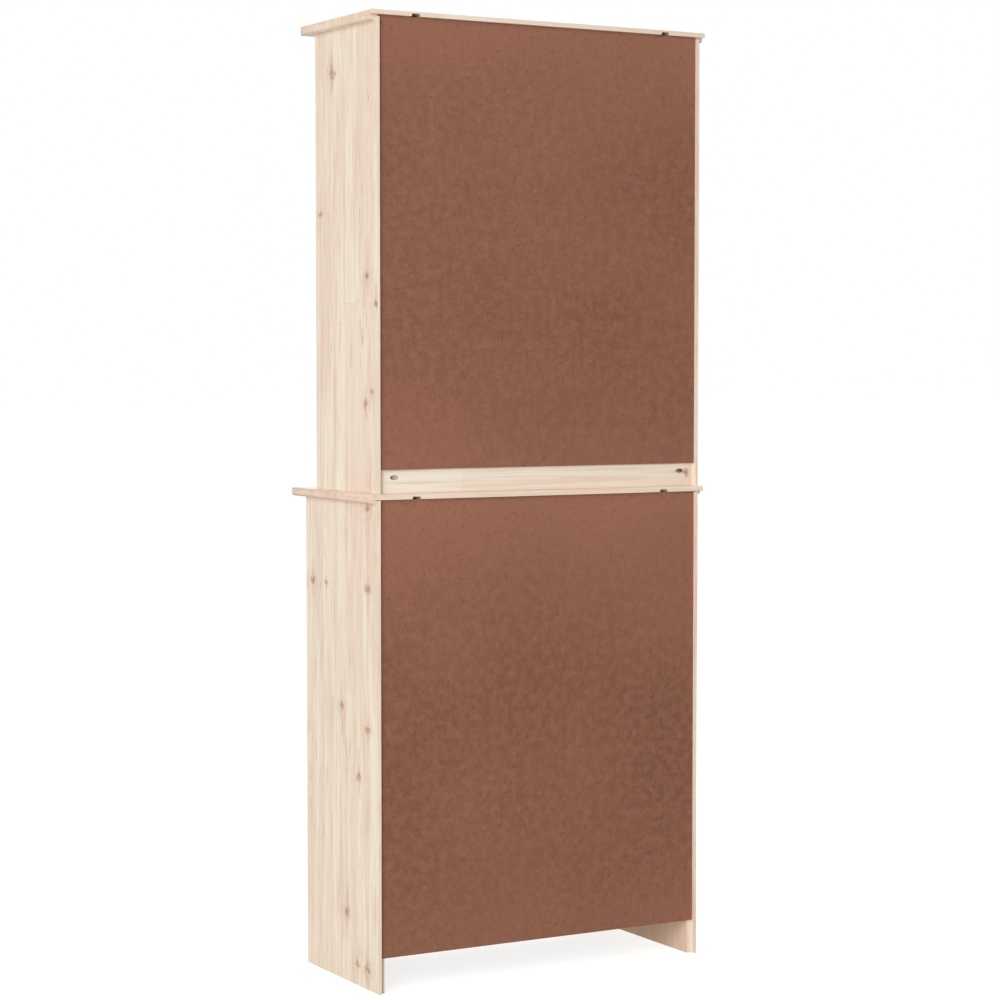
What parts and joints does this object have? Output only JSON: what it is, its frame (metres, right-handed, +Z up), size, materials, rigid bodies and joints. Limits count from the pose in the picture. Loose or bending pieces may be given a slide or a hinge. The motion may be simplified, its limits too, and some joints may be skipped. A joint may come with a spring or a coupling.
{
  "type": "highboard",
  "caption": "Two-part solid pine highboard: a door cupboard on the worktop of a deeper base with drawers and doors, hardboard backs let into rear rebates.",
  "frame": {"origin": "on the floor at the centre of the plan's bounding box", "axes": "+Z up; the doors and drawers face -Y and the hardboard backs face +Y; +X to the right seen from the front"},
  "size_m": [0.75, 0.358, 1.865],
  "materials": {
    "pine": "untreated sanded pine",
    "hardboard": "raw brown hardboard",
    "hinge_steel": "zinc-plated",
    "catch_plastic": "brown moulded"
  },
  "bodies": {
    "carcass": {"door_catches": "catch_plastic", "drawer_divider": "pine", "drawer_front_rail": "pine", "drawer_rear_rail": "pine", "drawer_runners": "pine", "hinge_frame_leaves": "hinge_steel", "hinge_pins": "hinge_steel", "locating_tongues": "pine", "lower_back_panel": "hardboard", "lower_bottom_board": "pine", "lower_plinth": "pine", "lower_shelf": "pine", "lower_side_left": "pine", "lower_side_right": "pine", "shelf_battens": "pine", "top_board": "pine", "upper_back_panel": "hardboard", "upper_bottom_board": "pine", "upper_front_rail": "pine", "upper_rear_rail": "pine", "upper_shelf_high": "pine", "upper_shelf_low": "pine", "upper_side_left": "pine", "upper_side_right": "pine", "worktop": "pine"},
    "left_drawer": {"left_drawer_back": "pine", "left_drawer_bottom": "hardboard", "left_drawer_front": "pine", "left_drawer_knob": "pine", "left_drawer_sides": "pine"},
    "lower_left_door": {"lower_left_door_bottom_rail": "pine", "lower_left_door_knob": "pine", "lower_left_door_leaves": "hinge_steel", "lower_left_door_panel": "pine", "lower_left_door_stiles": "pine", "lower_left_door_top_rail": "pine"},
    "lower_right_door": {"lower_right_door_bottom_rail": "pine", "lower_right_door_knob": "pine", "lower_right_door_leaves": "hinge_steel", "lower_right_door_panel": "pine", "lower_right_door_stiles": "pine", "lower_right_door_top_rail": "pine"},
    "right_drawer": {"right_drawer_back": "pine", "right_drawer_bottom": "hardboard", "right_drawer_front": "pine", "right_drawer_knob": "pine", "right_drawer_sides": "pine"},
    "upper_left_door": {"upper_left_door_bottom_rail": "pine", "upper_left_door_knob": "pine", "upper_left_door_leaves": "hinge_steel", "upper_left_door_panel": "pine", "upper_left_door_stiles": "pine", "upper_left_door_top_rail": "pine"},
    "upper_right_door": {"upper_right_door_bottom_rail": "pine", "upper_right_door_knob": "pine", "upper_right_door_leaves": "hinge_steel", "upper_right_door_panel": "pine", "upper_right_door_stiles": "pine", "upper_right_door_top_rail": "pine"}
  },
  "joints": [
    {"name": "upper_left_door_hinge", "type": "hinge", "parent": "carcass", "child": "upper_left_door", "pos_m": [-0.345, -0.0945, 1.4], "axis": [0, 0, -1], "range_deg": [0, 170]},
    {"name": "upper_right_door_hinge", "type": "hinge", "parent": "carcass", "child": "upper_right_door", "pos_m": [0.345, -0.0945, 1.4], "axis": [0, 0, 1], "range_deg": [0, 170]},
    {"name": "lower_left_door_hinge", "type": "hinge", "parent": "carcass", "child": "lower_left_door", "pos_m": [-0.345, -0.1445, 0.5], "axis": [0, 0, -1], "range_deg": [0, 170]},
    {"name": "lower_right_door_hinge", "type": "hinge", "parent": "carcass", "child": "lower_right_door", "pos_m": [0.345, -0.1445, 0.5], "axis": [0, 0, 1], "range_deg": [0, 170]},
    {"name": "left_drawer_slide", "type": "slide", "parent": "carcass", "child": "left_drawer", "axis": [0, -1, 0], "range_m": [0, 0.21]},
    {"name": "right_drawer_slide", "type": "slide", "parent": "carcass", "child": "right_drawer", "axis": [0, -1, 0], "range_m": [0, 0.21]}
  ]
}
